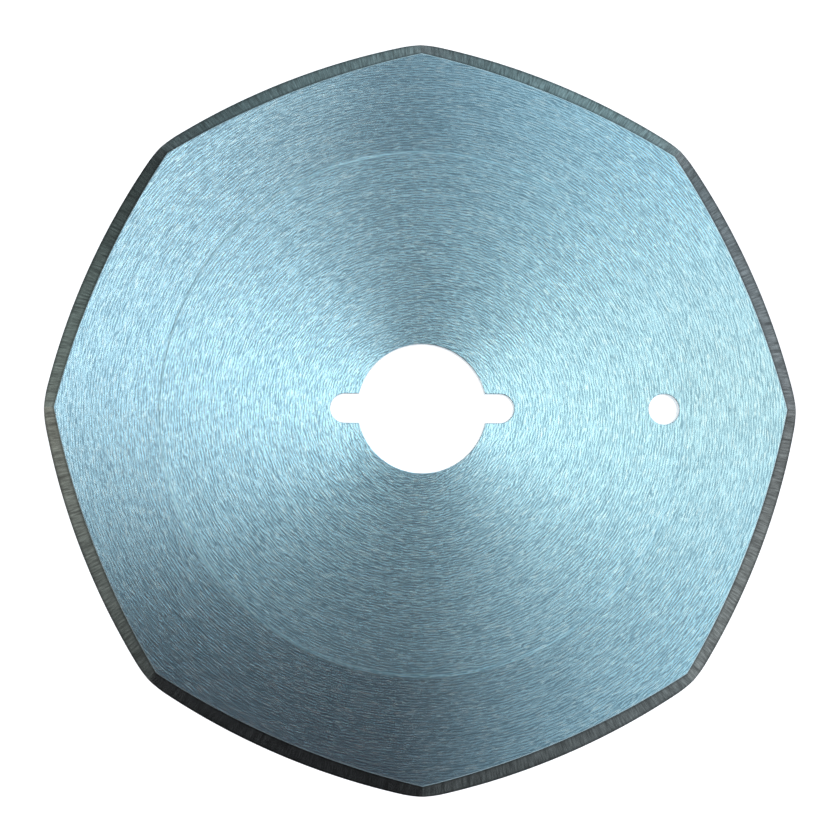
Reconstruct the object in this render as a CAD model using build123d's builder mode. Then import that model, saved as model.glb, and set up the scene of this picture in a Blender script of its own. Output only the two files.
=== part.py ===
from build123d import *

import os
from math import cos, radians, sin, sqrt, tan

# An eight-sided round knife for a powered cloth cutter: one flat disc of hardened steel, ground on
# both faces, with a bevel ground along each side of its rim from one face only.
# Millimetres. The origin is on the bore's axis, in the flat back face that holds the cutting edge,
# and +Z points out of the bevelled face.

# Outline
SIDE_COUNT = 8
TIP_DIAMETER = 100.0  # across two opposite tips, the size that such a blade is sold by
TIP_ROUND = 13.0  # radius that rounds each tip
SIDE_BOW_RADIUS = 95.0  # of the arc along each side, whose middle is 1.6 mm lower than the tips

# Thickness and bevel
THICKNESS = 1.2
BEVEL_RUN_AT_SIDE = 2.32  # how far in the bevel runs over the full thickness, halfway along a side
BEVEL_RUN_AT_RIDGE = 2.05  # and along the ridge where two sides' bevels meet

# Relief ground into the bevelled face outside the land that is clamped
LAND_RADIUS = 34.5
RELIEF_STEP = 0.02  # the relief starts this far below the land
RELIEF_STEP_WIDTH = 0.2
RELIEF_ANGLE = 0.35  # degrees, falling towards the rim

# Holes
BORE_DIAMETER = 17.0
NOTCH_WIDTH = 3.8
NOTCH_SPAN = 24.2  # from the round end of one drive notch to that of the other
PIN_HOLE_DIAMETER = 4.0
PIN_HOLE_OFFSET = 32.0  # from the bore's axis

PITCH = 360 / SIDE_COUNT
half_pitch = radians(PITCH / 2)
tip_radius = TIP_DIAMETER / 2

# The round of a tip touches the arcs of both its sides from within, so its centre and theirs are
# the difference of their radii apart. The centre of a side's arc lies beyond the bore's axis.
round_centre = tip_radius - TIP_ROUND
off_line = round_centre * sin(half_pitch)
along_line = round_centre * cos(half_pitch)
bow_centre = sqrt((SIDE_BOW_RADIUS - TIP_ROUND) ** 2 - off_line**2) - along_line
side_radius = SIDE_BOW_RADIUS - bow_centre

# Without the round, the arcs of two neighbouring sides would meet in a corner this far out.
arc_rise = sqrt(SIDE_BOW_RADIUS**2 - (bow_centre * sin(half_pitch)) ** 2)
corner_radius = arc_rise - bow_centre * cos(half_pitch)


def polar(radius, angle):
    """The point at that distance from the bore's axis and that many degrees round from +X."""
    return Vector(radius, 0).rotate(Axis.Z, angle)


def bowed_outline(corner_reach, side_reach):
    """A polygon with bowed sides. Its corners and the middles of its sides are that far out."""
    with BuildSketch() as outline:
        with BuildLine():
            for side in range(SIDE_COUNT):
                start = side * PITCH
                ThreePointArc(
                    polar(corner_reach, start),
                    polar(side_reach, start + PITCH / 2),
                    polar(corner_reach, start + PITCH),
                )
        make_face()
    return outline.sketch


def relief_height(radius):
    """Height of the relieved face at that distance from the bore's axis."""
    return THICKNESS - RELIEF_STEP - (radius - LAND_RADIUS) * tan(radians(RELIEF_ANGLE))


with BuildPart() as rotary_blade:
    # One bevel to each side, ruled from the cutting edge up to the face, so that two of them meet
    # in a ridge at each corner
    with BuildSketch(Plane.XY):
        add(bowed_outline(corner_radius, side_radius))
    with BuildSketch(Plane.XY.offset(THICKNESS)):
        add(bowed_outline(corner_radius - BEVEL_RUN_AT_RIDGE, side_radius - BEVEL_RUN_AT_SIDE))
    loft(ruled=True)

    # The tips are rounded right through, which leaves the edge a little blunt at each of them
    with BuildSketch(Plane.XY) as rounded:
        add(bowed_outline(corner_radius, side_radius))
        fillet(rounded.vertices(), TIP_ROUND)
    extrude(amount=THICKNESS, mode=Mode.INTERSECT)

    # The relief: a small step at the edge of the land, then a shallow cone out to the bevel
    cone_start = LAND_RADIUS + RELIEF_STEP_WIDTH
    with BuildSketch(Plane.XZ):
        with BuildLine():
            Polyline(
                (LAND_RADIUS, THICKNESS),
                (cone_start, relief_height(cone_start)),
                (tip_radius, relief_height(tip_radius)),
                (tip_radius, 2 * THICKNESS),
                (LAND_RADIUS, 2 * THICKNESS),
                close=True,
            )
        make_face()
    revolve(axis=Axis.Z, mode=Mode.SUBTRACT)

    # The bore with its two drive notches, and the hole for the pin that sets the blade on its hub
    with BuildSketch(Plane.XY):
        Circle(BORE_DIAMETER / 2)
        SlotOverall(NOTCH_SPAN, NOTCH_WIDTH)
        with Locations((PIN_HOLE_OFFSET, 0)):
            Circle(PIN_HOLE_DIAMETER / 2)
    extrude(amount=THICKNESS, mode=Mode.SUBTRACT)

rotary_blade.part.label = "rotary_blade"

os.makedirs("parts", exist_ok=True)
export_step(rotary_blade.part, "parts/rotary_blade.step")

print(f"blade {rotary_blade.part.volume:.1f} mm3, box {rotary_blade.part.bounding_box().size}")
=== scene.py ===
# %% [markdown]
# # An eight-sided round-knife blade
#
# The blade is one flat disc of hardened steel, 100 mm across its tips and 1.2 mm thick. Both faces
# are ground while the disc turns, so their fine scratches run round the bore. A bevel is ground
# along each side, with scratches that run across it. Nothing else is on it, so the lesson is about
# two things: a clean mesh for a flat ground part, and brushed steel whose light turns with the
# grain.

from math import atan2, cos, degrees, hypot, pi, radians, sin, sqrt, tan

import bmesh
import bpy
from mathutils import Euler, Matrix, Vector


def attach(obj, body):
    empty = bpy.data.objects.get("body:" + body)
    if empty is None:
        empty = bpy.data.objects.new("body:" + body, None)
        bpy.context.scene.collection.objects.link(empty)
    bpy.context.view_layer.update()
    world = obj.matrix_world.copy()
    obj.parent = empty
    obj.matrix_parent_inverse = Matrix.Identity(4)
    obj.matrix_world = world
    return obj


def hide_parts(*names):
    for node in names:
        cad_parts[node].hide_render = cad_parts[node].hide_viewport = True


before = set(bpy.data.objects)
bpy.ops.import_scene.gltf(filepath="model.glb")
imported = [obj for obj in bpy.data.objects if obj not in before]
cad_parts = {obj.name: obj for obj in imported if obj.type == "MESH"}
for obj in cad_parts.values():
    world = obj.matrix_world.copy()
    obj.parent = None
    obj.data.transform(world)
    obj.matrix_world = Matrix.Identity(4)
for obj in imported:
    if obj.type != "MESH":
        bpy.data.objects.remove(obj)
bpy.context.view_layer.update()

# %% [markdown]
# ## Sizes
#
# Everything is drawn in millimetres, as the maker's drawing would be, and becomes metres once, at
# the end. The outline is that of the solid: each side is an arc of a large circle, two sides would
# meet in a corner, and a round takes the corner off. The bevel is a straight line from the cutting
# edge up to a smaller outline of the same kind at the face.

# %% Sizes of the blade in millimetres
MM = 0.001
THICKNESS = 1.2
SIDES = 8
PITCH = 360 / SIDES  # degrees from one corner to the next
TIP_REACH = 50.0
TIP_ROUND = 13.0
SIDE_BOW = 95.0  # radius of the arc along each side
BEVEL_RUN_AT_SIDE = 2.32
BEVEL_RUN_AT_RIDGE = 2.05

LAND_EDGE = 34.5  # inside it the face is clamped, and outside it the face is relieved
RELIEF_STEP = 0.02
RELIEF_FOOT = 34.7
RELIEF_SLOPE = tan(radians(0.35))

BORE_RADIUS = 8.5
NOTCH_HALF = 1.9
NOTCH_CENTRE = 10.2  # of a notch's round end, from the bore's axis
PIN_HOLE_RADIUS = 2.0
PIN_HOLE_OFFSET = 32.0

EDGE_BREAK = 0.12  # the grinder leaves the edges of the holes a little round
CREASE_BREAK = 0.05  # and a stone has been run along the crease between bevel and face

half_pitch = radians(PITCH / 2)
round_centre = TIP_REACH - TIP_ROUND
centres_apart = SIDE_BOW - TIP_ROUND  # because the round touches a side's arc from within
round_across = round_centre * sin(half_pitch)
bow_centre = sqrt(centres_apart**2 - round_across**2) - round_centre * cos(half_pitch)
side_reach = SIDE_BOW - bow_centre
bow_across = bow_centre * sin(half_pitch)
corner_reach = sqrt(SIDE_BOW**2 - bow_across**2) - bow_centre * cos(half_pitch)
print(f"sides {side_reach:.3f} mm out, corners {corner_reach:.3f} mm out before they are rounded")

# %% [markdown]
# ## Outlines as a reach at each angle
#
# Seen along its axis, each outline of the blade is a distance from the axis that depends on the
# angle alone. So each one can be a small function of the angle, and a ring of vertices takes its
# shape from one of them.

# %% The outlines


def from_corner(turn):
    """How far an angle is from the nearest corner of the blade, in radians."""
    return abs(radians((turn + PITCH / 2) % PITCH - PITCH / 2))


def bowed_reach(corner, side, turn):
    """How far out a side with that reach at its ends and in its middle lies at an angle."""
    rise = side - corner * cos(half_pitch)
    bow = ((corner * sin(half_pitch)) ** 2 + rise**2) / (2 * rise)
    behind = bow - side
    off = half_pitch - from_corner(turn)
    return sqrt(bow**2 - (behind * sin(off)) ** 2) - behind * cos(off)


def edge_line(turn):
    """The outline in the back face before the tips are rounded."""
    return bowed_reach(corner_reach, side_reach, turn)


def face_line(turn):
    """The outline that the bevel would reach at the full thickness."""
    return bowed_reach(corner_reach - BEVEL_RUN_AT_RIDGE, side_reach - BEVEL_RUN_AT_SIDE, turn)


def rim(turn):
    """The outline of the finished blade."""
    off = from_corner(turn)
    if off > tip_touch:
        return edge_line(turn)
    return round_centre * cos(off) + sqrt(TIP_ROUND**2 - (round_centre * sin(off)) ** 2)


def blunt_height(turn):
    """How high the blunt wall stands where a tip is rounded. It is nothing along the sides."""
    return THICKNESS * (edge_line(turn) - rim(turn)) / (edge_line(turn) - face_line(turn))


# %% Where a tip's round begins
# The round touches a side's arc on the line through both their centres.
touch_x = round_centre * cos(half_pitch) + bow_centre
touch_y = round_centre * sin(half_pitch)
touch_scale = SIDE_BOW / hypot(touch_x, touch_y)
touch_turn = atan2(touch_y * touch_scale, touch_x * touch_scale - bow_centre)
tip_touch = half_pitch - touch_turn
print(f"each tip is rounded for {degrees(tip_touch):.3f} degrees to both sides of its corner")

# %% The crease between the bevel and the face


def relief_height(reach):
    """Height of the relieved face that far from the axis."""
    return THICKNESS - RELIEF_STEP - (reach - LAND_EDGE) * RELIEF_SLOPE


def crease_height(turn):
    """How high up the bevel runs into the relieved face."""
    lean = (face_line(turn) - edge_line(turn)) / THICKNESS
    return relief_height(edge_line(turn)) / (1 + lean * RELIEF_SLOPE)


def crease(turn):
    """The outline of the face, where the bevel begins."""
    return edge_line(turn) + (face_line(turn) - edge_line(turn)) * crease_height(turn) / THICKNESS


heights = [round(crease_height(turn), 3) for turn in (0, PITCH / 2)]
print("height of the crease at a tip and at a side, in mm:", heights)

# %% The bore


def bore_wall(turn, grown=0.0):
    """The bore with its two drive notches, with its edge set back by that much."""
    off = abs(radians((turn + 90) % 180 - 90))
    half = NOTCH_HALF + grown
    round_end = atan2(half, NOTCH_CENTRE)
    bore = BORE_RADIUS + grown
    if off < round_end:
        return NOTCH_CENTRE * cos(off) + sqrt(half**2 - (NOTCH_CENTRE * sin(off)) ** 2)
    if bore * sin(off) < half:
        return half / sin(off)
    return bore


print(f"bore {2 * bore_wall(90):.2f} mm, and {2 * bore_wall(0):.2f} mm from notch to notch")

# %% [markdown]
# ## One grid of columns and rings
#
# A flat part shades badly where long thin faces fan out from a few vertices. Here the blade is a
# grid instead: 1440 columns stand round the axis, and each outline is a ring that crosses all of
# them. The first ring comes from a circle, and each further one is extruded from the last, over
# the rim, in across the face, down the bore and out under the back. The columns nearest to the
# ends of the tips' rounds and to the corners of the notches are moved on to them, so that those
# lines stay crisp.

# %% The first ring
COLUMNS = 1440
STEP = 360 / COLUMNS

notch_round_end = degrees(atan2(NOTCH_HALF, NOTCH_CENTRE))
notch_corner = degrees(atan2(NOTCH_HALF, sqrt(BORE_RADIUS**2 - NOTCH_HALF**2)))
crisp_turns = []
for corner in range(SIDES):
    crisp_turns += [corner * PITCH - degrees(tip_touch), corner * PITCH + degrees(tip_touch)]
for notch in (0, 180):
    for off in (notch_round_end, notch_corner):
        crisp_turns += [notch - off, notch + off]


def settled(turn):
    """The angle of a column, moved on to a crisp line that lies within half a step of it."""
    for crisp in crisp_turns:
        gap = (crisp - turn + 180) % 360 - 180
        if abs(gap) <= STEP / 2:
            return turn + gap
    return turn


bm = bmesh.new()
column_turn = bm.verts.layers.float.new("column_turn")
bmesh.ops.create_circle(bm, cap_ends=False, radius=1.0, segments=COLUMNS)
for vert in bm.verts:
    column = round(degrees(atan2(vert.co.y, vert.co.x)) / STEP)
    vert[column_turn] = settled(column * STEP)


def shape_ring(verts, reach, height):
    """Put each vertex of a ring at its reach and height. Both depend on its column's angle."""
    for vert in verts:
        turn = vert[column_turn]
        out = reach(turn)
        vert.co = (out * cos(radians(turn)), out * sin(radians(turn)), height(turn))


def next_ring(edges, reach, height):
    """Extrude a ring of edges into a new ring and give it its shape."""
    grown = bmesh.ops.extrude_edge_only(bm, edges=edges)["geom"]
    shape_ring([item for item in grown if isinstance(item, bmesh.types.BMVert)], reach, height)
    return [item for item in grown if isinstance(item, bmesh.types.BMEdge)]


first_ring = list(bm.edges)
shape_ring(bm.verts, rim, lambda turn: 0.0)
print(len(first_ring), "columns, each", round(STEP, 3), "degrees wide")

# %% Over the rim and in across the bevelled face
PIN_CLEAR = 2.7  # from the pin hole's axis in to the ring that passes it
PIN_ZONE = (PIN_HOLE_OFFSET - PIN_CLEAR, LAND_EDGE)  # the rings that the pin hole lies between
PLAIN_RINGS = (PIN_ZONE[0], 22.0, 14.0)
RELIEF_RING = 40.0  # like two of the plain rings, this one only keeps the faces short

ring = next_ring(first_ring, rim, blunt_height)
ring = next_ring(
    ring,
    lambda turn: crease(turn) + CREASE_BREAK,
    lambda turn: crease_height(turn)
    - CREASE_BREAK * THICKNESS / (edge_line(turn) - face_line(turn)),
)
ring = next_ring(
    ring,
    lambda turn: crease(turn) - CREASE_BREAK,
    lambda turn: relief_height(crease(turn) - CREASE_BREAK),
)
ring = next_ring(ring, lambda turn: RELIEF_RING, lambda turn: relief_height(RELIEF_RING))
ring = next_ring(ring, lambda turn: RELIEF_FOOT, lambda turn: relief_height(RELIEF_FOOT))
ring = next_ring(ring, lambda turn: LAND_EDGE, lambda turn: THICKNESS)
for reach in PLAIN_RINGS:
    ring = next_ring(ring, lambda turn, out=reach: out, lambda turn: THICKNESS)
print(len(bm.verts) // COLUMNS, "rings of vertices so far")

# %% Down the bore, whose two edges are a little round, and out under the back
BREAK_STEPS = 3
BACK_RING = 44.0  # it only keeps the faces short
SAME_PLACE = 0.0001  # mm
broken_edge = []  # how far back from the wall and how far down from the face it is, going down
for count in range(BREAK_STEPS + 1):
    lean = radians(90 * count / BREAK_STEPS)
    broken_edge.append((EDGE_BREAK * (1 - sin(lean)), EDGE_BREAK * (1 - cos(lean))))
hole_profile = [(back, THICKNESS - drop) for back, drop in broken_edge]
hole_profile += [(back, drop) for back, drop in reversed(broken_edge)]

for back, height in hole_profile:
    ring = next_ring(
        ring, lambda turn, grown=back: bore_wall(turn, grown), lambda turn, level=height: level
    )
for reach in reversed(PLAIN_RINGS):
    ring = next_ring(ring, lambda turn, out=reach: out, lambda turn: 0.0)
ring = next_ring(ring, lambda turn: LAND_EDGE, lambda turn: 0.0)
ring = next_ring(ring, lambda turn: BACK_RING, lambda turn: 0.0)
ring = next_ring(ring, rim, lambda turn: 0.0)

# The last ring lies on the first, and along the sides the blunt wall has no height.
bmesh.ops.remove_doubles(bm, verts=bm.verts, dist=SAME_PLACE)
print(len(bm.faces), "faces in the ring of the blade")

# %% [markdown]
# ## The pin hole
#
# The pin hole breaks into the grid, so a patch is cut out of both faces round it, and each patch's
# edge is bridged to a circle with as many edges. More circles, bridged one to the next, take the
# hole through the plate. The bridge's long faces don't show, because the face is flat there.

# %% Cut the two patches and pierce the hole
PIN_PATCH_HALF = 5.5  # degrees to both sides of the notch line
PATCH_SIDE = 4.0  # mm, and only the two straight sides of the patch are longer
PATCH_CUTS = 19  # cuts along each of them


def in_pin_patch(face):
    """Whether a face lies in the patch that makes room for the pin hole."""
    middle = face.calc_center_median()
    turn = degrees(atan2(middle.y, middle.x))
    return PIN_ZONE[0] < middle.xy.length < PIN_ZONE[1] and abs(turn) < PIN_PATCH_HALF


def pin_ring(grown, height):
    """A circle round the pin hole's axis, with its edge set back by that much."""
    place = Matrix.Translation((PIN_HOLE_OFFSET, 0, height))
    radius = PIN_HOLE_RADIUS + grown
    made = bmesh.ops.create_circle(bm, segments=patch_size, radius=radius, matrix=place)
    return list(dict.fromkeys(edge for vert in made["verts"] for edge in vert.link_edges))


bmesh.ops.delete(bm, geom=[face for face in bm.faces if in_pin_patch(face)], context="FACES")
straight = [edge for edge in bm.edges if edge.is_boundary and edge.calc_length() > PATCH_SIDE]
bmesh.ops.subdivide_edges(bm, edges=straight, cuts=PATCH_CUTS)
open_edges = [edge for edge in bm.edges if edge.is_boundary]
top_patch = [edge for edge in open_edges if edge.verts[0].co.z > THICKNESS / 2]
back_patch = [edge for edge in open_edges if edge.verts[0].co.z < THICKNESS / 2]
patch_size = len(top_patch)

pin_rings = [pin_ring(grown, height) for grown, height in hole_profile]
bmesh.ops.bridge_loops(bm, edges=top_patch + pin_rings[0])
for upper, lower in zip(pin_rings, pin_rings[1:]):
    bmesh.ops.bridge_loops(bm, edges=upper + lower)
bmesh.ops.bridge_loops(bm, edges=pin_rings[-1] + back_patch)

bmesh.ops.recalc_face_normals(bm, faces=bm.faces)
faults = [edge for edge in bm.edges if not edge.is_manifold]
print(f"{len(bm.faces)} faces, {len(faults)} faulty edges, {bm.calc_volume(signed=True):.1f} mm3")

# %% [markdown]
# ## Which finish each face has, and crisp shading
#
# Four finishes meet on the blade: the two ground faces, the bevel with the blunt walls of the tips,
# the walls of the holes as the press left them, and the crease that a stone has broken. A face's
# place and the way that it leans say which it is. Smooth shading rounds the hole edges, and every
# other edge that turns by more than a few degrees stays sharp.

# %% Finishes and sharp edges
FACE_FINISH, BEVEL_FINISH, HOLE_FINISH, CREASE_FINISH = 0, 1, 2, 3
BEVEL_LEAN = 0.93  # the bevel's normals are less upright than this
CREASE_LEAN = 0.99  # and the broken crease's lie between the bevel's and this
RIM_ZONE = 39.5  # the bevel and the crease lie further out than this
BORE_ZONE = 14.5  # the bore and its notches lie within this
PIN_WALL = PIN_HOLE_RADIUS + 0.5  # and the pin hole's wall within this of its own axis
SHARP_TURN = radians(5)
HOLE_SHARP_TURN = radians(40)  # more than a step of the holes' round edges

for face in bm.faces:
    middle = face.calc_center_median()
    from_pin = hypot(middle.x - PIN_HOLE_OFFSET, middle.y)
    face.smooth = True
    if middle.xy.length > RIM_ZONE and abs(face.normal.z) < BEVEL_LEAN:
        face.material_index = BEVEL_FINISH
    elif middle.xy.length > RIM_ZONE and 0 < face.normal.z < CREASE_LEAN:
        face.material_index = CREASE_FINISH
    elif abs(face.normal.z) < BEVEL_LEAN and (middle.xy.length < BORE_ZONE or from_pin < PIN_WALL):
        face.material_index = HOLE_FINISH
    else:
        face.material_index = FACE_FINISH

for edge in bm.edges:
    by_hole = HOLE_FINISH in {face.material_index for face in edge.link_faces}
    edge.smooth = edge.calc_face_angle(0.0) < (HOLE_SHARP_TURN if by_hole else SHARP_TURN)

counts = [sum(face.material_index == finish for face in bm.faces) for finish in range(4)]
print("faces of the ground face, the bevel, the holes and the crease:", counts)

# %% [markdown]
# ## A map that goes round the blade
#
# The grain of the steel runs round the axis, so the blade's own map does too: one side of the map
# is the way round, and the other is the way from the bore to the rim. Each kind of surface has its
# own band of the map. The scratches are then as fine across the grain on the map as they are on
# the steel.

# %% The polar map
MAP_SEAM = 90.0  # degrees, away from the pin hole
BACK_BAND = (0.010, 0.430)
FRONT_BAND = (0.460, 0.930)
BORE_BAND = (0.436, 0.444)
PIN_BAND = (0.447, 0.455)
BEVEL_BAND = (0.935, 0.980)
TIP_BAND = (0.984, 0.995)
PIN_START = 0.01  # where the pin hole's wall starts, as a share of the way across the map
PIN_WIDTH = 0.1  # and how much of it that short wall takes
BLUNT_LEAN = 0.3  # the normals of the tips' blunt walls are less upright than this


def share(value, low, high, band):
    """A value's place between two limits, as a place in a band of the map."""
    along = min(max((value - low) / (high - low), 0.0), 1.0)
    return band[0] + along * (band[1] - band[0])


polar_map = bm.loops.layers.uv.new("OFBake")
for face in bm.faces:
    middle = face.calc_center_median()
    pin_wall = face.material_index == HOLE_FINISH and middle.x > BORE_ZONE
    centre = Vector((PIN_HOLE_OFFSET, 0)) if pin_wall else Vector((0, 0))
    way = degrees(atan2(middle.y - centre.y, middle.x - centre.x)) - MAP_SEAM
    for loop in face.loops:
        spot = loop.vert.co
        off = spot.xy - centre
        turn = degrees(atan2(off.y, off.x)) - MAP_SEAM
        around = (way + (turn - way + 180) % 360 - 180) % 360
        if around == 0 and way % 360 > 180:  # a corner on the seam belongs to the side of its face
            around = 360.0
        across = around / 360
        if pin_wall:
            across = PIN_START + PIN_WIDTH * across
            up = share(spot.z, 0, THICKNESS, PIN_BAND)
        elif face.material_index == HOLE_FINISH:
            up = share(spot.z, 0, THICKNESS, BORE_BAND)
        elif face.material_index == BEVEL_FINISH and abs(face.normal.z) > BLUNT_LEAN:
            up = share(spot.z, 0, THICKNESS, BEVEL_BAND)
        elif face.material_index == BEVEL_FINISH:
            up = share(spot.z, 0, THICKNESS, TIP_BAND)
        else:
            side_band = FRONT_BAND if face.normal.z > 0 else BACK_BAND
            up = share(off.length, BORE_RADIUS, TIP_REACH, side_band)
        loop[polar_map].uv = (across, up)
print("the map has", sum(len(face.loops) for face in bm.faces), "corners")

# %% The blade as an object, in metres
bmesh.ops.scale(bm, vec=(MM, MM, MM), verts=bm.verts)
blade_mesh = bpy.data.meshes.new("ground_blade")
bm.to_mesh(blade_mesh)
bm.free()
blade = bpy.data.objects.new("ground_blade", blade_mesh)
bpy.context.scene.collection.objects.link(blade)
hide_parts("rotary_blade")
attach(blade, "root")
blade_mesh.calc_loop_triangles()
blade_size = [round(side / MM, 3) for side in blade.dimensions]
print("triangles:", len(blade_mesh.loop_triangles), "size in mm:", blade_size)

# %% [markdown]
# ## Helpers for the finishes
#
# Colours are written as the eye reads them on a screen, in sRGB, and the shaders work in linear
# light, so one function turns one into the other. Another adds a node, sets what it needs and
# links it, which keeps each recipe a list of steps.

# %% Colours and nodes


def linear(colour, level=1.0):
    """Turn an sRGB hex colour into linear RGBA, made brighter or darker by the level."""
    shares = [int(colour[at : at + 2], 16) / 255 for at in (1, 3, 5)]
    # The curve and its numbers are those of the sRGB standard.
    light = [s / 12.92 if s <= 0.04045 else ((s + 0.055) / 1.055) ** 2.4 for s in shares]
    return (*(level * value for value in light), 1.0)


def fill(tree, node, inputs):
    """Give a node's inputs their values, or link them. A node stands for its own output."""
    for name, value in inputs.items():
        if isinstance(value, bpy.types.Node):
            value = next(output for output in value.outputs if output.enabled)
        if isinstance(value, bpy.types.NodeSocket):
            tree.links.new(value, node.inputs[name])
        else:
            node.inputs[name].default_value = value


def step(tree, kind, label, inputs=None, **settings):
    """Add a node with its settings and with what goes into it."""
    made = tree.nodes.new(kind)
    made.label = label
    for name, value in settings.items():
        setattr(made, name, value)
    fill(tree, made, inputs or {})
    return made


def finish_named(name):
    """An empty material with its node tree and its shader."""
    made = bpy.data.materials.new(name)
    made.use_nodes = True
    return made, made.node_tree, made.node_tree.nodes["Principled BSDF"]


print("a middle grey on a screen is", round(linear("#808080")[0], 3), "in linear light")

# %% [markdown]
# ## Ground steel
#
# Both faces are ground with the disc turning under a wheel of about 80 grit. The wheel leaves short
# scratches that run round the axis, one to three millimetres long. It leaves them on its way out
# and on its way back, so two sets of them cross at a few degrees. Hardened tool steel ground so
# fine is a cool grey with a blue sheen.
#
# Two things make it look ground. The scratches spread the light across themselves and hardly along
# themselves, which an anisotropic shader does with its tangent running round the axis: that gives
# the bright and dark wedges that seem to turn about the bore. And each scratch shows, by its bump
# and by its colour, which is painted lighter on the ridges and darker in the furrows as painted
# sheen and painted shade. A set of them is a sine of the distance from the axis that drifts
# outwards as it goes round, and noise stretched along the arc bends the ridges and breaks them into
# short lengths. The real ones are 0.05 mm wide, less than half a pixel, so the ridges stand 0.33 to
# 0.37 mm apart, which draws them about three times as wide. A few scratches also get painted
# glints.

# %% Polar coordinates on the blade


def polar_place(tree):
    """A spot's distance from the axis, its y and its z in mm, and its angle from the notch line."""
    spot = step(tree, "ShaderNodeTexCoord", "place on the blade").outputs["Object"]
    from_metres = {0: spot, "Scale": 1 / MM}
    in_mm = step(tree, "ShaderNodeVectorMath", "in mm", from_metres, operation="SCALE")
    x, y, z = step(tree, "ShaderNodeSeparateXYZ", "x y z", {0: in_mm}).outputs
    flat = step(tree, "ShaderNodeCombineXYZ", "flat", {"X": x, "Y": y})
    out = step(tree, "ShaderNodeVectorMath", "out from the axis", {0: flat}, operation="LENGTH")
    angle = step(tree, "ShaderNodeMath", "angle", {0: y, 1: x}, operation="ARCTAN2")
    # The angle jumps where it comes full circle. Folded at the notch line it doesn't.
    turn = step(tree, "ShaderNodeMath", "fold at the notch line", {0: angle}, operation="ABSOLUTE")
    return {"out": out, "turn": turn, "y": y, "z": z}


steel, steel_tree, steel_shader = finish_named("rotary_ground_steel")
steel_place = polar_place(steel_tree)
steel_place["along"] = step(
    steel_tree,
    "ShaderNodeMath",
    "arc in mm",
    {0: steel_place["turn"], 1: steel_place["out"]},
    operation="MULTIPLY",
)
print("each spot of the steel knows its", sorted(steel_place))

# %% Noise stretched along the arc
SIDE_SHIFT = 0.4  # cells for each mm of y, so that the fold doesn't mirror the pattern


def stretched_noise(tree, label, place, width, length, seed, detail=1.0):
    """Soft noise stretched along the arc, with its width and length in mm."""
    along = {0: place["along"], 1: 1 / length}
    across = {0: place["out"], 1: 1 / width}
    side = {0: place["y"], 1: SIDE_SHIFT, 2: seed}
    cells = {
        "X": step(tree, "ShaderNodeMath", "along", along, operation="MULTIPLY"),
        "Y": step(tree, "ShaderNodeMath", "across", across, operation="MULTIPLY"),
        "Z": step(tree, "ShaderNodeMath", "side", side, operation="MULTIPLY_ADD"),
    }
    stretched = step(tree, "ShaderNodeCombineXYZ", label + ": stretched", cells)
    noise = {"Vector": stretched, "Scale": 1.0, "Detail": detail}
    return step(tree, "ShaderNodeTexNoise", label, noise)


glinting = stretched_noise(
    steel_tree, "fresh scratches", steel_place, width=0.12, length=1.1, seed=57.0, detail=0.0
)
broad = stretched_noise(
    steel_tree, "broad passes of the wheel", steel_place, width=1.3, length=5.0, seed=77.0
)
print("noise for", [noise.label for noise in (glinting, broad)])

# %% Two sets of scratches that cross
BEND_BY = 1.5  # periods
BEND = {"width": 0.5, "length": 1.8}  # mm, of the noise that bends the ridges
BREAK = {"width": 0.4, "length": 1.0}  # and of the one that breaks them
BREAK_SEED = 7
FADED, FULL = 0.36, 0.64  # a ridge is gone where that noise is this low, and full where this high
FULL_HEIGHT = 1.4  # of a full ridge, and the depth of a full furrow


def furrows(tree, label, place, period, slant, seed):
    """Ridges and furrows along the arc at that period in mm, bent and broken by noise.

    They drift outwards by the slant in mm for each radian.
    """
    drift = {0: place["turn"], 1: slant, 2: place["out"]}
    drifted = step(tree, "ShaderNodeMath", label + ": drift", drift, operation="MULTIPLY_ADD")
    per_mm = {0: drifted, 1: 2 * pi / period}
    even = step(tree, "ShaderNodeMath", label + ": even", per_mm, operation="MULTIPLY")
    bend = stretched_noise(tree, label + ": bend", place, **BEND, seed=seed)
    bending = {0: bend, 1: 2 * pi * BEND_BY, 2: even}
    bent = step(tree, "ShaderNodeMath", label + ": bent", bending, operation="MULTIPLY_ADD")
    ridges = step(tree, "ShaderNodeMath", label + ": ridges", {0: bent}, operation="SINE")
    lengths = stretched_noise(tree, label + ": lengths", place, **BREAK, seed=seed + BREAK_SEED)
    fading = {"Value": lengths, "From Min": FADED, "From Max": FULL, "To Max": FULL_HEIGHT}
    strength = step(tree, "ShaderNodeMapRange", label + ": strength", fading)
    return step(tree, "ShaderNodeMath", label, {0: ridges, 1: strength}, operation="MULTIPLY")


one_way = furrows(steel_tree, "furrows one way", steel_place, period=0.37, slant=2.0, seed=3.0)
other_way = furrows(
    steel_tree, "furrows the other way", steel_place, period=0.33, slant=-2.0, seed=41.0
)
print("scratches take", len(steel_tree.nodes), "nodes")

# %% The colour of the scratches
# Ridges are painted lighter and furrows darker, a painted sheen and painted shade over the real
# bump.
SHADED_FURROW_STEEL, SHEEN_RIDGE_STEEL, GLINT_STEEL = "#87B4C0", "#C2F6FF", "#DAFFFF"
CROSSED_REACH = 0.97  # both sets together are full dark or full light beyond this
NOISE_LOW, NOISE_HIGH = 0.3, 0.7  # a noise seldom leaves this range
PASS_CONTRAST = 0.15
GLINT_FROM, GLINT_FULL = 0.63, 0.7  # so high in its noise a painted glint begins, and is full
GLINT_SHARE = 0.8

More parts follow.
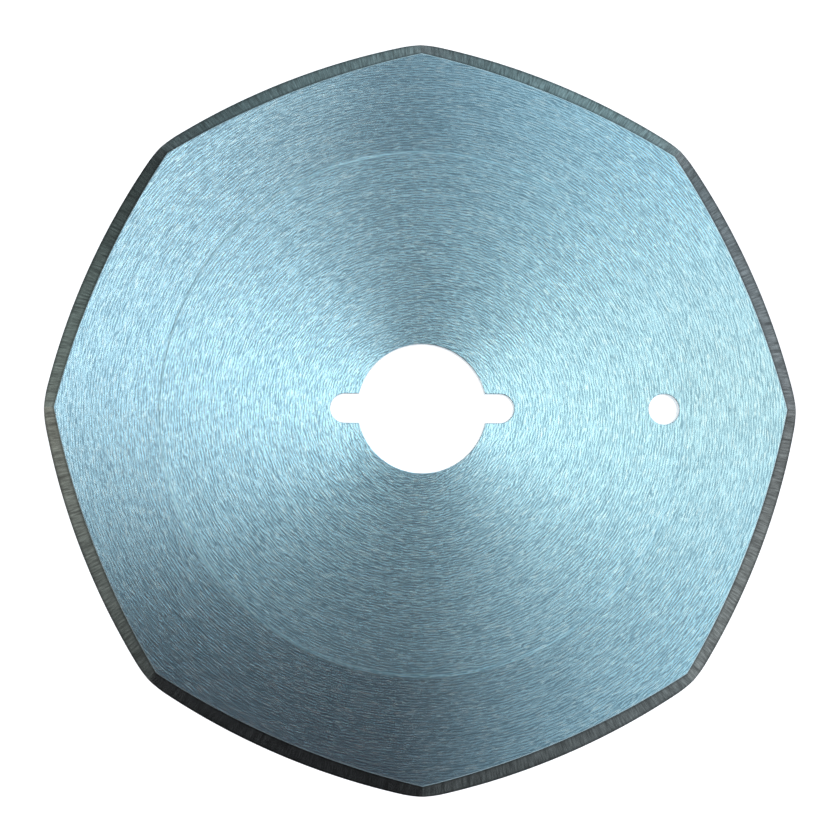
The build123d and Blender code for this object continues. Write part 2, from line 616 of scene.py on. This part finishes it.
both_ways = {0: one_way, 1: other_way}
crossed = step(steel_tree, "ShaderNodeMath", "both ways", both_ways, operation="ADD")
contrast = step(
    steel_tree,
    "ShaderNodeMapRange",
    "scratch contrast",
    {"Value": crossed, "From Min": -CROSSED_REACH, "From Max": CROSSED_REACH},
)
passes = step(
    steel_tree,
    "ShaderNodeMapRange",
    "pass contrast",
    {
        "Value": broad,
        "From Min": NOISE_LOW,
        "From Max": NOISE_HIGH,
        "To Min": -PASS_CONTRAST,
        "To Max": PASS_CONTRAST,
    },
)
marks = step(
    steel_tree, "ShaderNodeMath", "marks", {0: contrast, 1: passes}, operation="ADD", use_clamp=True
)
steel_colour = step(
    steel_tree,
    "ShaderNodeMix",
    "ground steel",
    {"Factor": marks, "A": linear(SHADED_FURROW_STEEL), "B": linear(SHEEN_RIDGE_STEEL)},
    data_type="RGBA",
)
# A few scratches get painted glints: their colour turns near white, standing in for light they
# catch.
painted_glints = step(
    steel_tree,
    "ShaderNodeMapRange",
    "painted_glints",
    {"Value": glinting, "From Min": GLINT_FROM, "From Max": GLINT_FULL, "To Max": GLINT_SHARE},
)
glinted_steel = step(
    steel_tree,
    "ShaderNodeMix",
    "with flashes",
    {"Factor": painted_glints, "A": steel_colour, "B": linear(GLINT_STEEL)},
    data_type="RGBA",
)
levels = [round(linear(colour)[1], 2) for colour in (SHADED_FURROW_STEEL, SHEEN_RIDGE_STEEL, GLINT_STEEL)]
print("green of a furrow, a ridge and a flash, in linear light:", levels)

# %% Which way the scratches lie
SETS_APART = 2.0  # the grain is turned in full where the two sets differ by this much
LAY_SPREAD = 0.27  # sideways for each length along the arc, so up to about 15 degrees

grain = step(steel_tree, "ShaderNodeTangent", "round the axis", direction_type="RADIAL", axis="Z")
surface = step(steel_tree, "ShaderNodeNewGeometry", "surface")
outwards = step(
    steel_tree,
    "ShaderNodeVectorMath",
    "across the grain",
    {0: grain, 1: surface.outputs["Normal"]},
    operation="CROSS_PRODUCT",
)
# The grain is turned the way of whichever set lies on top.
either_way = step(
    steel_tree, "ShaderNodeMath", "one or the other", both_ways, operation="SUBTRACT"
)
lay = step(
    steel_tree,
    "ShaderNodeMapRange",
    "how far each scratch is turned",
    {
        "Value": either_way,
        "From Min": -SETS_APART,
        "From Max": SETS_APART,
        "To Min": -LAY_SPREAD,
        "To Max": LAY_SPREAD,
    },
)
turned = step(
    steel_tree, "ShaderNodeVectorMath", "turned", {0: outwards, "Scale": lay}, operation="SCALE"
)
lie = step(steel_tree, "ShaderNodeVectorMath", "lie", {0: grain, 1: turned}, operation="ADD")
print(f"the grain turns by up to {degrees(atan2(LAY_SPREAD, 1)):.1f} degrees to both sides")

# %% How rough the land, the relief and the step between them are
LAND_ROUGHNESS = 0.255
RELIEF_ROUGHNESS = 0.226  # the relief is ground finer
STEP_MIDDLE = (LAND_EDGE + RELIEF_FOOT) / 2
STEP_FULL, STEP_GONE = 0.1, 0.25  # mm from its middle
STEP_EXTRA = 0.12
MARK_CHANGE = 0.012  # a furrow is that much rougher, and a ridge that much smoother

land_or_relief = step(
    steel_tree,
    "ShaderNodeMapRange",
    "from land to relief",
    {
        "Value": steel_place["out"],
        "From Min": LAND_EDGE,
        "From Max": RELIEF_FOOT,
        "To Min": LAND_ROUGHNESS,
        "To Max": RELIEF_ROUGHNESS,
    },
)
# The wheel's corner cuts the step and leaves it rougher than the faces beside it.
from_step = {0: steel_place["out"], 1: STEP_MIDDLE}
past_step = step(steel_tree, "ShaderNodeMath", "past the step", from_step, operation="SUBTRACT")
step_off = step(steel_tree, "ShaderNodeMath", "off the step", {0: past_step}, operation="ABSOLUTE")
step_rough = step(
    steel_tree,
    "ShaderNodeMapRange",
    "rough step",
    {
        "Value": step_off,
        "From Min": STEP_FULL,
        "From Max": STEP_GONE,
        "To Min": STEP_EXTRA,
        "To Max": 0.0,
    },
)
mark_rough = step(
    steel_tree,
    "ShaderNodeMapRange",
    "roughness of the marks",
    {"Value": marks, "To Min": MARK_CHANGE, "To Max": -MARK_CHANGE},
)
ground_rough = {0: land_or_relief, 1: step_rough}
with_step = step(steel_tree, "ShaderNodeMath", "with the step", ground_rough, operation="ADD")
all_rough = {0: with_step, 1: mark_rough}
rough = step(steel_tree, "ShaderNodeMath", "roughness", all_rough, operation="ADD")
print(f"roughness {LAND_ROUGHNESS} on the land and {RELIEF_ROUGHNESS} on the relief")

# %% The finished ground steel
SCRATCH_DEPTH = 0.0028  # mm

bump = step(
    steel_tree,
    "ShaderNodeBump",
    "scratch relief",
    {"Strength": 1.0, "Distance": SCRATCH_DEPTH * MM, "Height": contrast},
)
# Hardened and ground tool steel: cool and bluish, with the light drawn out across the scratches,
# which the quarter turn does.
fill(
    steel_tree,
    steel_shader,
    {
        "Base Color": glinted_steel,
        "Metallic": 1.0,
        "Roughness": rough,
        "Normal": bump,
        "Tangent": lie,
        "Anisotropic": 0.873,
        "Anisotropic Rotation": 0.25,
    },
)
print(steel.name, "has", len(steel_tree.nodes), "nodes")

# %% [markdown]
# ## The bevel
#
# The bevel is ground on its own with the wheel running straight across it, out over the cutting
# edge. Its scratches are coarser and lie along the slope. It looks darker and greyer than the face,
# partly because it leans outwards and mirrors the edge of the room instead of the light above, and
# partly because its colours are painted darker and greyer than the face's steel, as painted shade.
# The real scratches are about 0.1 mm wide, and are drawn twice as wide, so that they show.

# %% Scratches across the bevel
BEVEL_REACH = 47.5  # mm from the axis to about the bevel's middle
BEVEL_SCRATCH_WIDTH = 0.24  # mm
BEVEL_SCRATCH_LENGTH = 2.5
BEVEL_SIDE_SHIFT = 0.2  # cells for each mm of y

bevel, bevel_tree, bevel_shader = finish_named("cross_ground_bevel")
bevel_place = polar_place(bevel_tree)
rim_cells = {0: bevel_place["turn"], 1: BEVEL_REACH / BEVEL_SCRATCH_WIDTH}
slope_cells = {0: bevel_place["out"], 1: 1 / BEVEL_SCRATCH_LENGTH}
side_cells = {0: bevel_place["y"], 1: BEVEL_SIDE_SHIFT}
bevel_cells = step(
    bevel_tree,
    "ShaderNodeCombineXYZ",
    "stretched across the bevel",
    {
        "X": step(bevel_tree, "ShaderNodeMath", "along the rim", rim_cells, operation="MULTIPLY"),
        "Y": step(bevel_tree, "ShaderNodeMath", "up the slope", slope_cells, operation="MULTIPLY"),
        "Z": step(bevel_tree, "ShaderNodeMath", "side", side_cells, operation="MULTIPLY"),
    },
)
bevel_noise = step(
    bevel_tree,
    "ShaderNodeTexNoise",
    "cross scratches",
    {"Vector": bevel_cells, "Scale": 1.0, "Detail": 2.0, "Roughness": 0.65},
)
bevel_marks = step(
    bevel_tree,
    "ShaderNodeMapRange",
    "scratch contrast",
    {"Value": bevel_noise, "From Min": NOISE_LOW, "From Max": NOISE_HIGH},
)
print("a scratch fills", round(degrees(BEVEL_SCRATCH_WIDTH / BEVEL_REACH), 2), "degrees of the rim")

# %% Cross-ground steel
BEVEL_MIDDLE = 0.46 * THICKNESS  # up the bevel
SHADE_FROM, SHADE_FULL = 0.26, 0.52  # mm up or down from there
SHADE_SHARE = 0.6
BEVEL_SCRATCH_DEPTH = 0.004  # mm

# Its two colours are darker and greyer than the face's steel: painted shade over what the bevel
# mirrors.
bevel_steel = step(
    bevel_tree,
    "ShaderNodeMix",
    "cross-ground steel",
    {"Factor": bevel_marks, "A": linear("#6E6F6F"), "B": linear("#B6B8B8")},
    data_type="RGBA",
)
# Painted shade: both edges of the bevel, along the crease and along the cutting edge, are darker.
from_middle = {0: bevel_place["z"], 1: BEVEL_MIDDLE}
past_middle = step(bevel_tree, "ShaderNodeMath", "up or down", from_middle, operation="SUBTRACT")
middle_off = step(
    bevel_tree, "ShaderNodeMath", "off the middle", {0: past_middle}, operation="ABSOLUTE"
)
edge_shade = step(
    bevel_tree,
    "ShaderNodeMapRange",
    "shaded edges",
    {"Value": middle_off, "From Min": SHADE_FROM, "From Max": SHADE_FULL, "To Max": SHADE_SHARE},
    interpolation_type="SMOOTHSTEP",
)
bevel_colour = step(
    bevel_tree,
    "ShaderNodeMix",
    "with shaded edges",
    {"Factor": edge_shade, "A": bevel_steel, "B": linear("#4C4E4E")},
    data_type="RGBA",
)
bevel_bump = step(
    bevel_tree,
    "ShaderNodeBump",
    "scratch relief",
    {"Strength": 1.0, "Distance": BEVEL_SCRATCH_DEPTH * MM, "Height": bevel_marks},
)
bevel_grain = step(
    bevel_tree, "ShaderNodeTangent", "round the axis", direction_type="RADIAL", axis="Z"
)
# The same steel cut coarser, but painted a darker plain grey as painted shade. The tangent already
# runs across these scratches.
fill(
    bevel_tree,
    bevel_shader,
    {
        "Base Color": bevel_colour,
        "Metallic": 1.0,
        "Roughness": 0.243,
        "Normal": bevel_bump,
        "Tangent": bevel_grain,
        "Anisotropic": 0.72,
        "Anisotropic Rotation": 0.0,
    },
)
print(bevel.name, "has", len(bevel_tree.nodes), "nodes")

# %% [markdown]
# ## The walls of the holes
#
# The holes are pierced before the faces are ground. A press leaves a wall with fine lines in the
# direction of its stroke. Its colour is painted near white, a painted highlight that makes the wall
# glare.

# %% Pierced steel
PRESS_LINE_WIDTH = 0.15  # mm
PRESS_LINE_LENGTH = 1.5

pierced, pierced_tree, pierced_shader = finish_named("pierced_steel")
pierced_spot = step(pierced_tree, "ShaderNodeTexCoord", "place on the blade").outputs["Object"]
per_width, per_length = 1 / PRESS_LINE_WIDTH / MM, 1 / PRESS_LINE_LENGTH / MM
pierced_cells = step(
    pierced_tree,
    "ShaderNodeMapping",
    "stretched through the plate",
    {"Vector": pierced_spot, "Scale": (per_width, per_width, per_length)},
)
press_lines = step(
    pierced_tree,
    "ShaderNodeTexNoise",
    "press lines",
    {"Vector": pierced_cells, "Scale": 1.0, "Detail": 2.0},
)
pierced_glare_colour = step(
    pierced_tree,
    "ShaderNodeMix",
    "pierced steel",
    {"Factor": press_lines, "A": linear("#DCE6EA"), "B": linear("#FBFEFF")},
    data_type="RGBA",
)
# Torn rather than cut, so it spreads the light evenly; its near-white colour is a painted
# highlight.
fill(
    pierced_tree,
    pierced_shader,
    {"Base Color": pierced_glare_colour, "Metallic": 1.0, "Roughness": 0.6},
)
print(pierced.name, "has lines", PRESS_LINE_WIDTH, "mm wide")

# %% [markdown]
# ## The crease
#
# A stone run once along the crease takes off the burr that the bevel's wheel leaves. What remains
# is a bright line a tenth of a millimetre wide, which outlines the face. Its slope catches the
# light, and its colour is painted lighter than the face's steel, a painted highlight.

# %% Stoned steel
NICK_SPACING = 0.6  # mm

stoned, stoned_tree, stoned_shader = finish_named("stoned_crease")
stoned_spot = step(stoned_tree, "ShaderNodeTexCoord", "place on the blade").outputs["Object"]
nicks = step(
    stoned_tree,
    "ShaderNodeTexNoise",
    "nicks",
    {"Vector": stoned_spot, "Scale": 1 / NICK_SPACING / MM, "Detail": 1.0},
)
crease_highlight_colour = step(
    stoned_tree,
    "ShaderNodeMix",
    "stoned steel",
    {"Factor": nicks, "A": linear("#AFCCD2"), "B": linear("#D6ECF0")},
    data_type="RGBA",
)
# A soft stone leaves a satin line that shines from nearly every side; its lighter colour is a
# painted highlight.
fill(
    stoned_tree,
    stoned_shader,
    {"Base Color": crease_highlight_colour, "Metallic": 1.0, "Roughness": 0.5},
)

for finish in (steel, bevel, pierced, stoned):
    blade_mesh.materials.append(finish)
print("finishes:", [finish.name for finish in blade_mesh.materials])

# %% [markdown]
# ## The floor
#
# The blade lies flat on a plain white table. The table glows just enough for the camera to see it
# white, and for the steel to mirror it so, and it still takes the blade's shadow.

# %% A white table
TABLE_SIZE = 4.0  # metres
TABLE_GAP = 0.02  # mm under the blade, so that the two don't share a plane
TABLE_GLOW = 0.74  # with the light that it gives back, this makes white

bpy.ops.mesh.primitive_plane_add(size=TABLE_SIZE)
table = bpy.context.object
table.name = "table"
table.location.z = -TABLE_GAP * MM

white, white_tree, white_shader = finish_named("white_table")
white_tree.nodes.remove(white_shader)
rays = step(white_tree, "ShaderNodeLightPath", "kinds of ray").outputs
seen = step(
    white_tree,
    "ShaderNodeMath",
    "seen or mirrored",
    {0: rays["Is Camera Ray"], 1: rays["Is Glossy Ray"]},
    operation="ADD",
)
seen_through = step(
    white_tree,
    "ShaderNodeMath",
    "or seen through glass",
    {0: seen, 1: rays["Is Transmission Ray"]},
    operation="ADD",
    use_clamp=True,
)
glow_level = step(
    white_tree,
    "ShaderNodeMath",
    "glow level",
    {0: seen_through, 1: TABLE_GLOW},
    operation="MULTIPLY",
)
glow = step(white_tree, "ShaderNodeEmission", "glow", {"Strength": glow_level})
paint = step(white_tree, "ShaderNodeBsdfDiffuse", "white paint", {"Color": linear("#E8E8E8")})
both = step(white_tree, "ShaderNodeAddShader", "paint and glow", {0: paint, 1: glow})
fill(white_tree, white_tree.nodes["Material Output"], {"Surface": both})
table.data.materials.append(white)
print(f"table {TABLE_SIZE} m wide, {TABLE_GAP} mm below the blade")

# %% [markdown]
# ## Light
#
# Three soft lamps stand well above the blade: a softbox to the right, one almost overhead and a
# long strip to the left. Each is turned to face the blade. Where a lamp is mirrored at right angles
# to the grain the steel is bright, and where none is, it falls to a deep slate.

# %% Three soft lamps
LAMP_REACH = 3.0  # metres from the blade to each lamp


def softbox(name, round_from_x, from_upright, half_width, half_height, brightness, tint):
    """A soft lamp that faces the blade. From there, its place and half sizes are in degrees."""
    turn, tilt = radians(round_from_x), radians(from_upright)
    out = Vector((sin(tilt) * cos(turn), sin(tilt) * sin(turn), cos(tilt)))
    along = Vector((-sin(turn), cos(turn), 0))
    data = bpy.data.lights.new(name, "AREA")
    data.shape = "RECTANGLE"
    data.size = 2 * LAMP_REACH * tan(radians(half_width))
    data.size_y = 2 * LAMP_REACH * tan(radians(half_height))
    data.energy = brightness * pi * data.size * data.size_y
    data.color = linear(tint)[:3]
    made = bpy.data.objects.new(name, data)
    facing = Matrix((along, out.cross(along), out)).transposed().to_4x4()
    made.matrix_world = Matrix.Translation(out * LAMP_REACH) @ facing
    bpy.context.scene.collection.objects.link(made)
    print(f"{name}: {data.size:.2f} by {data.size_y:.2f} m, {data.energy:.3f} W")


softbox(
    "softbox_right",
    round_from_x=20.0,
    from_upright=11.0,
    half_width=5.3,
    half_height=4.0,
    brightness=1.93,
    tint="#FFFCF6",
)
softbox(
    "softbox_overhead",
    round_from_x=123.2,
    from_upright=5.9,
    half_width=5.4,
    half_height=5.6,
    brightness=2.32,
    tint="#EFF2FF",
)
softbox(
    "strip_left",
    round_from_x=151.2,
    from_upright=23.8,
    half_width=31.7,
    half_height=5.0,
    brightness=2.09,
    tint="#FDF7FF",
)

# %% [markdown]
# ## The room
#
# The bevel leans outwards and mirrors the walls, so going round the room their brightness is what
# one reads round the rim. There is a window side to the right, another bright wall to the left and
# a dark corner on either side of that one. Overhead the room is dim, and brighter towards the
# window. What reaches the blade from the far side and the near side of the room is a colder light.

# %% Walls
WALLS = {  # degrees round from +X, and the colour of the wall there
    0: "#979EA2",
    20: "#D1DFE7",
    40: "#8EA2AC",
    60: "#C7F6FF",
    80: "#799097",
    100: "#ADD1D8",
    120: "#6A8185",
    140: "#14191B",
    160: "#ACC4C0",
    180: "#CDCBBA",
    200: "#B6C2BD",
    220: "#19191D",
    245: "#3F4244",
    270: "#18191B",
    295: "#848E90",
    320: "#B8C5C8",
    340: "#D3DBDA",
}

room = bpy.data.worlds.new("room")
bpy.context.scene.world = room
room.use_nodes = True
sky = room.node_tree
look = step(sky, "ShaderNodeTexCoord", "direction").outputs["Generated"]
look_x, look_y, look_z = step(sky, "ShaderNodeSeparateXYZ", "x y z", {0: look}).outputs
bearing = step(sky, "ShaderNodeMath", "bearing", {0: look_y, 1: look_x}, operation="ARCTAN2")
turns = step(
    sky, "ShaderNodeMath", "bearing in turns", {0: bearing, 1: 0.5 / pi}, operation="MULTIPLY"
)
round_room = step(sky, "ShaderNodeMath", "from none to a turn", {0: turns}, operation="FRACT")
walls = step(sky, "ShaderNodeValToRGB", "brightness round the room", {"Fac": round_room})
stops = walls.color_ramp.elements
for degrees_round, colour in WALLS.items():
    stop = stops.new(degrees_round / 360) if degrees_round else stops[0]
    stop.color = linear(colour)
stops[len(stops) - 1].color = linear(WALLS[0])  # a ramp begins with a stop at both its ends
print("wall stops:", [(round(stop.position * 360), round(stop.color[1], 2)) for stop in stops])

# %% Ceiling
WINDOW_RISE = (2.08, 0.30, -1.64)  # how the ceiling's level rises along x, y and z
CEILING_LEVEL = 1.5
ACROSS_ROOM = (-0.17, 0.98, 0)  # from the near side to the far side
COLD_FULL = 0.35  # the light is coldest this far that way or the other

window_way = {0: look, 1: WINDOW_RISE}
rise = step(sky, "ShaderNodeVectorMath", "towards the window", window_way, operation="DOT_PRODUCT")
level = step(sky, "ShaderNodeMath", "level", {0: rise, 1: CEILING_LEVEL}, operation="ADD")
lit = step(sky, "ShaderNodeMath", "never below none", {0: level, 1: 0.0}, operation="MAXIMUM")
side_way = {0: look, 1: ACROSS_ROOM}
far_side = step(sky, "ShaderNodeVectorMath", "far or near side", side_way, operation="DOT_PRODUCT")
either_side = step(sky, "ShaderNodeMath", "either side", {0: far_side}, operation="ABSOLUTE")
coldness = step(
    sky, "ShaderNodeMapRange", "coldness", {"Value": either_side, "From Max": COLD_FULL}
)
ceiling_tint = step(
    sky,
    "ShaderNodeMix",
    "ceiling tint",
    {"Factor": coldness, "A": linear("#FFF5F2", 1.08), "B": linear("#E4EFFF", 1.16)},
    data_type="RGBA",
)
lit_ceiling = step(
    sky, "ShaderNodeVectorMath", "lit ceiling", {0: ceiling_tint, "Scale": lit}, operation="SCALE"
)
ceiling = step(
    sky,
    "ShaderNodeVectorMath",
    "with a faint warm glow",
    {0: lit_ceiling, 1: linear("#330C18")[:3]},
    operation="ADD",
)
straight_up = max(WINDOW_RISE[2] + CEILING_LEVEL, 0.0)
print("straight above the blade the ceiling's level is", straight_up)

# %% From the walls to the ceiling
WALL_TOP, CEILING_FOOT = radians(20), radians(50)  # above the horizon
PALE_TOP = radians(1.5)  # below it the room is as white as the table, whose edge it meets

upwards = step(sky, "ShaderNodeMath", "angle above the horizon", {0: look_z}, operation="ARCSINE")
fade = step(
    sky,
    "ShaderNodeMapRange",
    "from walls to ceiling",
    {"Value": upwards, "From Min": WALL_TOP, "From Max": CEILING_FOOT},
    interpolation_type="SMOOTHSTEP",
)
walls_and_ceiling = step(
    sky,
    "ShaderNodeMix",
    "walls and ceiling",
    {"Factor": fade, "A": walls, "B": ceiling},
    data_type="RGBA",
)
pale_foot = step(
    sky,
    "ShaderNodeMapRange",
    "pale where it meets the table",
    {"Value": upwards, "From Max": PALE_TOP, "To Min": 1.0, "To Max": 0.0},
)
whole_room = step(
    sky,
    "ShaderNodeMix",
    "with a pale foot",
    {"Factor": pale_foot, "A": walls_and_ceiling, "B": linear("#FFFFFF")},
    data_type="RGBA",
)
fill(sky, sky.nodes["Background"], {"Color": whole_room})
print("room has", len(sky.nodes), "nodes")

# %% [markdown]
# ## Camera
#
# The photograph looks almost straight down, from about 13 cm above the blade and a little to the
# lower left. A small shift of the lens puts the bore where it is in the frame.

# %% The camera
SENSOR = 36.0  # mm
FRAME = 840  # pixels
FOCUS = 1000  # pixels
SHIFT = (54, -30)  # pixels
NEAREST = 0.01  # metres
CAMERA_PLACE = (-9.086, -8.956, 132.641)  # mm
CAMERA_TURN = (4.932, -0.742, 0.185)  # degrees

camera_data = bpy.data.cameras.new("camera")
camera_data.sensor_width = SENSOR
camera_data.lens = SENSOR * FOCUS / FRAME
camera_data.shift_x = SHIFT[0] / FRAME
camera_data.shift_y = SHIFT[1] / FRAME
camera_data.clip_start = NEAREST
camera = bpy.data.objects.new("camera", camera_data)
camera.location = Vector(CAMERA_PLACE) * MM
camera.rotation_euler = Euler([radians(turn) for turn in CAMERA_TURN], "XYZ")
bpy.context.scene.collection.objects.link(camera)
bpy.context.scene.camera = camera
bpy.context.scene.view_settings.view_transform = "Standard"
print(f"lens {camera_data.lens:.2f} mm")
